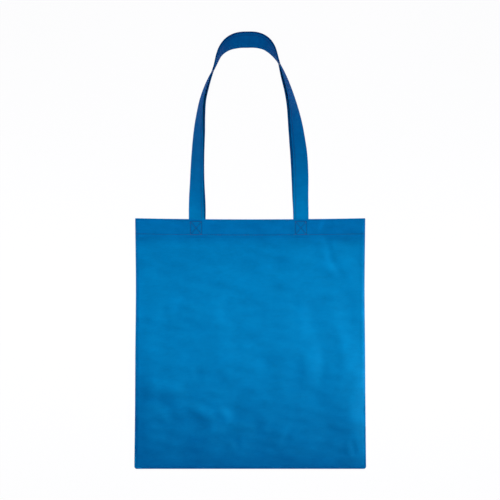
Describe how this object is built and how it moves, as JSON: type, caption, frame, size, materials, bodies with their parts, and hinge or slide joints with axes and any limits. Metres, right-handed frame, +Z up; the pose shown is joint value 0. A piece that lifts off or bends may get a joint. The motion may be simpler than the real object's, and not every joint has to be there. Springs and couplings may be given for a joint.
{
  "type": "non-woven shopping bag",
  "caption": "Flat non-woven cloth shopping bag lying empty on its back: a folded sheet with sewn sides and a hemmed mouth, its long strap handles laid out above it.",
  "frame": {"origin": "on the surface the bag lies on, under the middle of its outline, handles included", "axes": "+X across the bag, +Y from the bottom fold towards the handles, +Z up out of the front panel"},
  "size_m": [0.38, 0.717, 0.0253],
  "materials": {
    "body_cloth": "matt spunbond cloth with embossed bond points",
    "strap_cloth": "matt spunbond cloth folded in four",
    "thread": "matt sewing thread"
  },
  "bodies": {
    "root": {"bag_body": "body_cloth", "front_handle": "strap_cloth", "rear_handle": "strap_cloth"}
  },
  "joints": []
}
